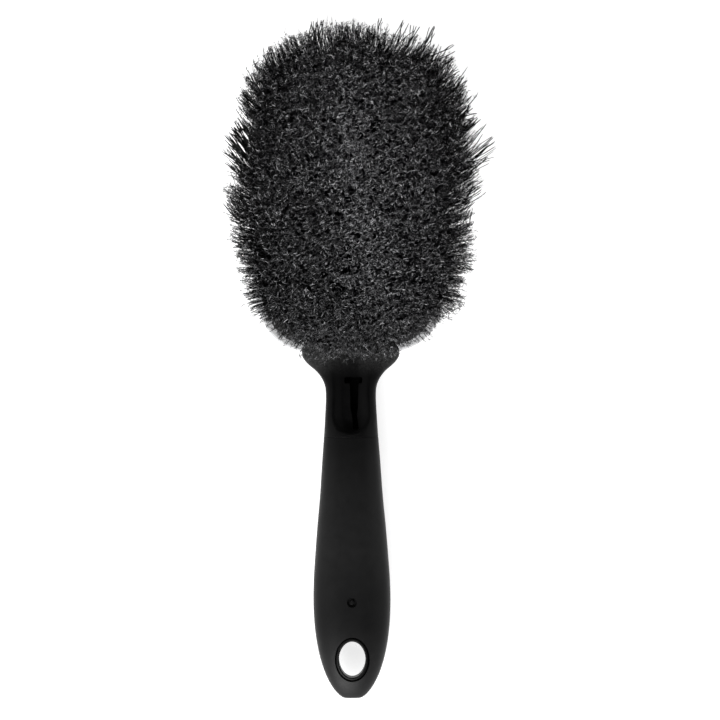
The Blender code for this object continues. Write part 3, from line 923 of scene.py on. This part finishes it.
def flag_paths(rng, path, calm, outward):
    """The split, curled ends of a tuft's filaments. calm ones lie along their filament."""
    n = len(path)
    owner = np.repeat(np.arange(n), FLAGS_PER_FILAMENT)
    m = len(owner)
    calm = calm[owner]
    along = rng.uniform(*FLAG_PLACE, (m, 1))
    p0 = path[owner, -3] * (1 - along) + path[owner, -1] * along
    stem = unit(path[owner, -1] - path[owner, -3])
    c, s = math.cos(FLAG_GRAIN), math.sin(FLAG_GRAIN)
    x, y, z = (rng.normal(0, 1, (m, 3)) * FLAG_LIE).T
    side = np.column_stack([x * c - y * s, x * s + y * c, z])
    side[:, :2] += outward * FLAG_OUTWARD
    side = unit(side - stem * np.sum(side * stem, axis=1, keepdims=True))
    open_out = rng.uniform(*FLAG_OPENING, (m, 1)) * (1 - FLAG_CALM_OPENING * calm)
    d1 = unit(stem + side * open_out)
    curl = rng.normal(0, FLAG_CURL, (m, 3)) * (1 - FLAG_CALM_CURL * calm)
    curl[:, 2:] -= FLAG_DROOP * (1 - calm)
    d2 = unit(d1 + side * FLAG_TURN * (1 - calm) + curl)
    d3 = unit(d2 + curl * FLAG_LAST_CURL)
    step = rng.uniform(*FLAG_STEP, (m, 1))
    step *= np.where(rng.uniform(0, 1, (m, 1)) < LONG_FLAG_SHARE, LONG_FLAG_LENGTH, 1.0)
    p1 = p0 + d1 * step
    p2 = p1 + d2 * step
    p3 = p2 + d3 * step
    return np.stack([p0, p1, p2, p3], axis=1)


def wisp_paths(rng, wisp, roots):
    """A few long strands that lean out of the pad together."""
    foot = np.array(wisp[:2]) * MM
    tip = np.array(wisp[2:4]) * MM
    n = wisp[4]
    root = roots[np.argmin(np.linalg.norm(roots - foot, axis=1))]
    across = unit(np.array([foot[1] - tip[1], tip[0] - foot[0]]))
    offset = rng.normal(0, WISP_SPREAD, (n, 1)) * across
    parting = rng.normal(0, WISP_PARTING, (n, 1)) * across
    start = root + rng.uniform(-0.7, 0.7, (n, 2)) * ROOT_RADIUS
    end = foot + (tip - foot) * rng.uniform(*WISP_LENGTHS, (n, 1)) + parting
    end[0] = tip
    middle = foot + offset
    path = np.empty((n, len(WISP_HEIGHTS), 3))
    for k, share in enumerate(WISP_RISE):
        path[:, k, :2] = start * (1 - share) + middle * share
    for k, share in enumerate(WISP_LEAN, len(WISP_RISE)):
        path[:, k, :2] = middle * (1 - share) + end * share
    path[:, :, 2] = WISP_HEIGHTS
    path[:, 3:, 2] += rng.normal(0, WISP_HEIGHT_SPREAD, (n, 1))
    path[:, 3:5, :2] += rng.normal(0, WISP_WOBBLE, (n, 2, 2))
    return path


def nearest_row(y):
    """Number of the row whose tips lie nearest to y."""
    share = (y - PAD_LOW_Y) / (PAD_HIGH_Y - PAD_LOW_Y)
    return int(round(1 + np.clip(share, 0, 1) * (len(ROW_NODES) - 1)))


def bell(distance, half_width, power=2):
    """1 in the middle, fading to 0 on both sides."""
    return np.exp(-((distance / half_width) ** power))


def flag_shades(rng, points, calm, highlight_middle, share):
    """The material number of each flag, from its place on the pad: 1 is dark and 4 is pale. The light and
    pale shades are painted highlights, more of them in the middle band, on the right and in the low
    fringe, fewer on strays and in the low middle.
    """
    x, y = points[:, 0], points[:, 1]
    # Painted highlight band along the middle of the pad.
    band = bell(x - highlight_middle, HIGHLIGHT_BAND_HALF_WIDTH)
    band *= bell(y - HIGHLIGHT_BAND_MIDDLE_Y, HIGHLIGHT_BAND_HALF_LENGTH, 4)
    pick = rng.uniform(0, 1, len(points))
    # Painted light on the low fringe off the middle, and fewer painted highlights in the low middle.
    low_fringe = max(1 - share / LOW_FRINGE_SHARE, 0.0) * (1 - bell(x, LOW_FRINGE_MIDDLE))
    low_middle = bell(x - LOW_MIDDLE_X, LOW_FRINGE_MIDDLE)
    low_middle *= np.clip((LOW_MIDDLE_Y - y) / LOW_MIDDLE_RUN, 0, 1)
    # Stray strands keep fewer painted highlights.
    stray_dark = STRAY_DARKENING * calm * min(share / STRAY_DARK_SHARE, 1.0)
    lit = (1 - stray_dark) * (1 - LOW_MIDDLE_DARKENING * low_middle)
    low = bell(y, LOW_MIDDLE_Y)
    # Painted light on the right side of the pad.
    right = np.clip(x / RIGHT_SIDE_X, 0, 1)
    pale = (PALE + PALE_IN_BAND * band + PALE_ON_RIGHT * right) * lit * (1 - PALE_LOST_LOW * low)
    light = LIGHT + LIGHT_IN_BAND * band + LIGHT_IN_FRINGE * low_fringe + LIGHT_ON_RIGHT * right
    light = pale + light * lit
    mid = light + MID + MID_LOW * low
    return np.select([pick < pale, pick < light, pick < mid], [4, 3, 2], 1)


def make_row(number, node, materials):
    """One row of tufts: the filaments' shafts, their flags and the wisps that start in this row."""
    rng = np.random.default_rng(FIRST_SEED + number)
    roots = tuft_roots(node)
    root_half = np.abs(roots[:, 0]).max()
    share = (number - 1) / (len(ROW_NODES) - 1)
    shafts, shaft_radii, flags, flag_radii, shades = [], [], [], [], []
    for root in roots:
        target = tip_centre(root, root_half, share) + rng.normal(0, TUFT_SPREAD, 2)
        edge = max(abs(root[0]) / root_half, abs(2 * share - 1)) ** EDGE_POWER
        outward = unit(target - np.array(FAN_CENTRE))
        looseness = edge * smooth_curve(LOOSENESS, share) * rng.uniform(*LOOSENESS_RANGE)
        crowding = EDGE_CROWDING * edge * min(4 * share, 1.0)
        path, calm = filament_paths(rng, root, target, edge, looseness, crowding)
        shafts.append(path)
        taper = np.tile(SHAFT_TAPER, (len(path), 1))
        taper[:, -2] += CALM_TIP * calm[:, 0]
        thickness = SHAFT_RADIUS * rng.uniform(*SHAFT_RANGE, (len(path), 1)) * (1 + CALM_THICKENING * calm)
        shaft_radii.append(thickness * taper)
        ends = flag_paths(rng, path, calm, outward)
        flags.append(ends)
        flag_radii.append(rng.uniform(*FLAG_RANGE, (len(ends), 1)) * FLAG_RADIUS * FLAG_TAPER)
        flag_calm = np.repeat(calm[:, 0], FLAGS_PER_FILAMENT)
        highlight_middle = smooth_curve(HIGHLIGHT_BAND, target[1])
        shades.append(flag_shades(rng, ends[:, 1], flag_calm, highlight_middle, share))
    for wisp in WISPS:
        if nearest_row(wisp[1] * MM) == number:
            path = wisp_paths(rng, wisp, roots)
            shafts.append(path)
            shaft_radii.append(WISP_RADIUS * rng.uniform(*WISP_RANGE, (len(path), 1)) * WISP_TAPER)
    verts, quads, tris = tubes(np.concatenate(shafts), np.concatenate(shaft_radii))[:3]
    parts = [(verts, quads, tris, np.zeros(len(quads), int), np.zeros(len(tris), int))]
    verts, quads, tris, quad_flags, tri_flags = tubes(np.concatenate(flags), np.concatenate(flag_radii))
    shade = np.concatenate(shades)
    parts.append((verts, quads, tris, shade[quad_flags], shade[tri_flags]))
    piece = fast_mesh(f"bristle_row_{number:02d}", parts)
    place(piece, "root", node, materials)


# Materials


def new_material(name):
    material = bpy.data.materials.new(name)
    material.use_nodes = True
    tree = material.node_tree
    return material, tree, tree.nodes["Principled BSDF"]


def noise(tree, scale, detail=4.0, roughness=0.55):
    node = tree.nodes.new("ShaderNodeTexNoise")
    coords = tree.nodes.new("ShaderNodeTexCoord")
    tree.links.new(coords.outputs["Object"], node.inputs["Vector"])
    node.inputs["Scale"].default_value = scale
    node.inputs["Detail"].default_value = detail
    node.inputs["Roughness"].default_value = roughness
    return node


def ramp(tree, source, stops):
    """A colour ramp with (position, grey or colour) stops."""
    node = tree.nodes.new("ShaderNodeValToRGB")
    elements = node.color_ramp.elements
    while len(elements) < len(stops):
        elements.new(0.5)
    for element, (position, value) in zip(elements, stops):
        element.position = position
        element.color = (value, value, value, 1) if isinstance(value, float) else (*value, 1)
    tree.links.new(source, node.inputs["Fac"])
    return node


def bump(tree, source, strength, distance, shader):
    node = tree.nodes.new("ShaderNodeBump")
    node.inputs["Strength"].default_value = strength
    node.inputs["Distance"].default_value = distance
    tree.links.new(source, node.inputs["Height"])
    tree.links.new(node.outputs["Normal"], shader.inputs["Normal"])


def fade(tree, axis, start, end, easing="SMOOTHSTEP"):
    """From 0 to 1 along one of the object's axes, between two places. X counts away from the middle."""
    coords = tree.nodes.new("ShaderNodeTexCoord")
    split = tree.nodes.new("ShaderNodeSeparateXYZ")
    tree.links.new(coords.outputs["Object"], split.inputs["Vector"])
    source = split.outputs[axis]
    if axis == "X":
        size = tree.nodes.new("ShaderNodeMath")
        size.operation = "ABSOLUTE"
        tree.links.new(source, size.inputs[0])
        source = size.outputs[0]
    spread = tree.nodes.new("ShaderNodeMapRange")
    spread.interpolation_type = easing
    spread.inputs["From Min"].default_value = start
    spread.inputs["From Max"].default_value = end
    tree.links.new(source, spread.inputs["Value"])
    return spread.outputs["Result"]


def product(tree, first, second):
    node = tree.nodes.new("ShaderNodeMath")
    node.operation = "MULTIPLY"
    tree.links.new(first, node.inputs[0])
    tree.links.new(second, node.inputs[1])
    return node.outputs[0]


def mix_colours(tree, share, first, second):
    """A mix node in colour mode, whose colour sockets are inputs 6 and 7 and output 2."""
    node = tree.nodes.new("ShaderNodeMix")
    node.data_type = "RGBA"
    tree.links.new(share, node.inputs[0])
    tree.links.new(first, node.inputs[6])
    tree.links.new(second, node.inputs[7])
    return node.outputs[2]


def plastic_material():
    """Black plastic, glossier towards the grip, with fine dust and painted light on the shoulders under
    the bristles.
    """
    material, tree, shader = new_material("core_plastic")
    toward_head = fade(tree, "Y", SCOOP_END_Y - 2 * MM, SCOOP_END_Y + 9 * MM)
    shine = ramp(tree, toward_head, [(0.0, 0.1), (1.0, 0.045)])
    tree.links.new(shine.outputs["Color"], shader.inputs["Specular IOR Level"])
    blacks = [(0.3, (0.0018, 0.0018, 0.0019)), (0.75, (0.003, 0.003, 0.0031))]
    colours = ramp(tree, noise(tree, scale=60.0).outputs["Fac"], blacks)
    # Paler speckle on the shoulders: dust, and painted light where the lit bristle fringe brightens them.
    dust_and_light = product(tree, fade(tree, "Y", *DUST_AND_LIGHT_Y), fade(tree, "X", *DUST_AND_LIGHT_X))
    grains = ramp(tree, noise(tree, scale=1400.0).outputs["Fac"], [(0.35, 0.011), (0.7, 0.045)])
    mixed = mix_colours(tree, dust_and_light, colours.outputs["Color"], grains.outputs["Color"])
    tree.links.new(mixed, shader.inputs["Base Color"])
    gloss = ramp(tree, noise(tree, scale=400.0, detail=6.0).outputs["Fac"], [(0.3, 0.36), (0.7, 0.5)])
    tree.links.new(gloss.outputs["Color"], shader.inputs["Roughness"])
    grain = noise(tree, scale=900.0, detail=3.0)
    bump(tree, grain.outputs["Fac"], 0.15, 0.05 * MM, shader)
    return material


def grip_material():
    """Matte black rubber with a fine grain, with paler bands of painted highlight along it."""
    material, tree, shader = new_material("grip_rubber")
    low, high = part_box("soft_grip")
    end_y, seam_y = low[1], high[1]
    shine = ramp(tree, fade(tree, "Y", seam_y - 11 * MM, seam_y), [(0.0, 0.12), (1.0, 0.085)])
    tree.links.new(shine.outputs["Color"], shader.inputs["Specular IOR Level"])
    blacks = [(0.3, (0.0032, 0.0032, 0.0033)), (0.75, (0.0048, 0.0048, 0.005))]
    colours = ramp(tree, noise(tree, scale=45.0).outputs["Fac"], blacks)
    # Painted highlight: paler rubber in bands along the grip, strongest towards the hanging end, standing
    # for light reflected there.
    highlight_colours = ramp(tree, noise(tree, scale=300.0).outputs["Fac"], [(0.3, 0.014), (0.75, 0.022)])
    painted_light = ramp(tree, fade(tree, "Y", end_y, seam_y, "LINEAR"), PAINTED_LIGHT_ALONG)
    mixed = mix_colours(tree, painted_light.outputs["Color"], colours.outputs["Color"], highlight_colours.outputs["Color"])
    tree.links.new(mixed, shader.inputs["Base Color"])
    gloss = ramp(tree, noise(tree, scale=250.0, detail=6.0).outputs["Fac"], [(0.3, 0.4), (0.7, 0.5)])
    tree.links.new(gloss.outputs["Color"], shader.inputs["Roughness"])
    grain = noise(tree, scale=2600.0, detail=2.0)
    bump(tree, grain.outputs["Fac"], 0.35, 0.06 * MM, shader)
    return material


def bumper_material():
    """Matte light grey rubber."""
    material, tree, shader = new_material("bumper_rubber")
    greys = [(0.3, (0.38, 0.38, 0.385)), (0.75, (0.5, 0.5, 0.505))]
    colours = ramp(tree, noise(tree, scale=70.0).outputs["Fac"], greys)
    tree.links.new(colours.outputs["Color"], shader.inputs["Base Color"])
    gloss = ramp(tree, noise(tree, scale=300.0, detail=6.0).outputs["Fac"], [(0.3, 0.55), (0.7, 0.7)])
    tree.links.new(gloss.outputs["Color"], shader.inputs["Roughness"])
    grain = noise(tree, scale=1800.0, detail=2.0)
    bump(tree, grain.outputs["Fac"], 0.3, 0.06 * MM, shader)
    return material


def filament_material(name, grey, roughness, gloss_high=0.35):
    """One shade of filament. Its gloss varies along the strands, from clean to dusty."""
    material, tree, shader = new_material(name)
    shader.inputs["Base Color"].default_value = (grey, grey, grey * 1.03, 1)
    shader.inputs["Roughness"].default_value = roughness
    gloss = noise(tree, scale=350.0, detail=3.0)
    gloss = ramp(tree, gloss.outputs["Fac"], [(0.35, 0.04), (0.7, gloss_high)])
    tree.links.new(gloss.outputs["Color"], shader.inputs["Specular IOR Level"])
    return material


# Stage


FLOOR_HALF_WIDTH = 6.0


def add_area(name, location, target, size, power):
    light = bpy.data.lights.new(name, "AREA")
    light.shape = "SQUARE"
    light.size = size
    light.energy = power
    obj = bpy.data.objects.new(name, light)
    obj.location = location
    direction = np.array(target) - np.array(location)
    obj.rotation_euler = Vector(direction).to_track_quat("-Z", "Y").to_euler()
    bpy.context.scene.collection.objects.link(obj)


def make_floor():
    """A white floor that glows a little, so that it stays nearly white round the brush."""
    mesh = bpy.data.meshes.new("floor")
    half = FLOOR_HALF_WIDTH
    corners = [(-half, -half, 0), (half, -half, 0), (half, half, 0), (-half, half, 0)]
    mesh.from_pydata(corners, [], [(0, 1, 2, 3)])
    floor = bpy.data.objects.new("floor", mesh)
    bpy.context.scene.collection.objects.link(floor)
    material, tree, shader = new_material("floor_white")
    shader.inputs["Base Color"].default_value = (0.5, 0.5, 0.5, 1)
    shader.inputs["Roughness"].default_value = 0.9
    shader.inputs["Specular IOR Level"].default_value = 0.0
    shader.inputs["Emission Color"].default_value = (1, 1, 1, 1)
    shader.inputs["Emission Strength"].default_value = 0.78
    mesh.materials.append(material)


def make_lights():
    """A studio that is white at the horizon and dark overhead, and four soft lamps."""
    world = bpy.data.worlds.new("studio")
    world.use_nodes = True
    tree = world.node_tree
    background = tree.nodes["Background"]
    coords = tree.nodes.new("ShaderNodeTexCoord")
    split = tree.nodes.new("ShaderNodeSeparateXYZ")
    tree.links.new(coords.outputs["Generated"], split.inputs["Vector"])
    sky = ramp(tree, split.outputs["Z"], [(0.0, 1.0), (0.35, 0.75), (0.75, 0.06)])
    tree.links.new(sky.outputs["Color"], background.inputs["Color"])
    background.inputs["Strength"].default_value = 1.0
    bpy.context.scene.world = world

    for name, location, size, power in (
        ("left", (-1.3, 0.1, 1.0), 1.0, 2.1),
        ("right", (1.3, 0.1, 1.0), 1.0, 2.5),
        ("far", (0.0, 1.3, 1.2), 0.8, 9.0),
        ("near", (-0.5, -1.3, 0.9), 1.2, 46.0),
    ):
        add_area(name, location, (0, 0, 0), size, power)


def make_camera():
    """Looks straight down, so that its view covers VIEW_WIDTH at the height of the handle's middle."""
    data = bpy.data.cameras.new("camera")
    data.sensor_width = SENSOR
    data.lens = SENSOR * (CAMERA_HEIGHT - VIEW_PLANE_Z) / VIEW_WIDTH
    data.clip_end = 50.0
    camera = bpy.data.objects.new("camera", data)
    camera.location = (*VIEW_CENTRE, CAMERA_HEIGHT)
    camera.rotation_euler = (0, 0, VIEW_ROLL)
    bpy.context.scene.collection.objects.link(camera)
    bpy.context.scene.camera = camera
    bpy.context.scene.view_settings.view_transform = "Standard"


make_camera()
make_floor()
make_lights()
make_handle_core([plastic_material()])
make_soft_grip([grip_material()])
make_bumper([bumper_material()])
# Greys of one black nylon: the light and pale ones are painted highlights, and the mid grey is partly
# painted light on the low end.
shades = [
    filament_material("filament_shaft", 0.003, 0.4, 0.2),
    filament_material("filament_dark", 0.004, 0.45, 0.2),
    filament_material("filament_mid", 0.058, 0.45),
    filament_material("filament_painted_light", 0.2, 0.45),
    filament_material("filament_painted_highlight", 0.55, 0.5),
]
for number, node in enumerate(ROW_NODES, 1):
    make_row(number, node, shades)
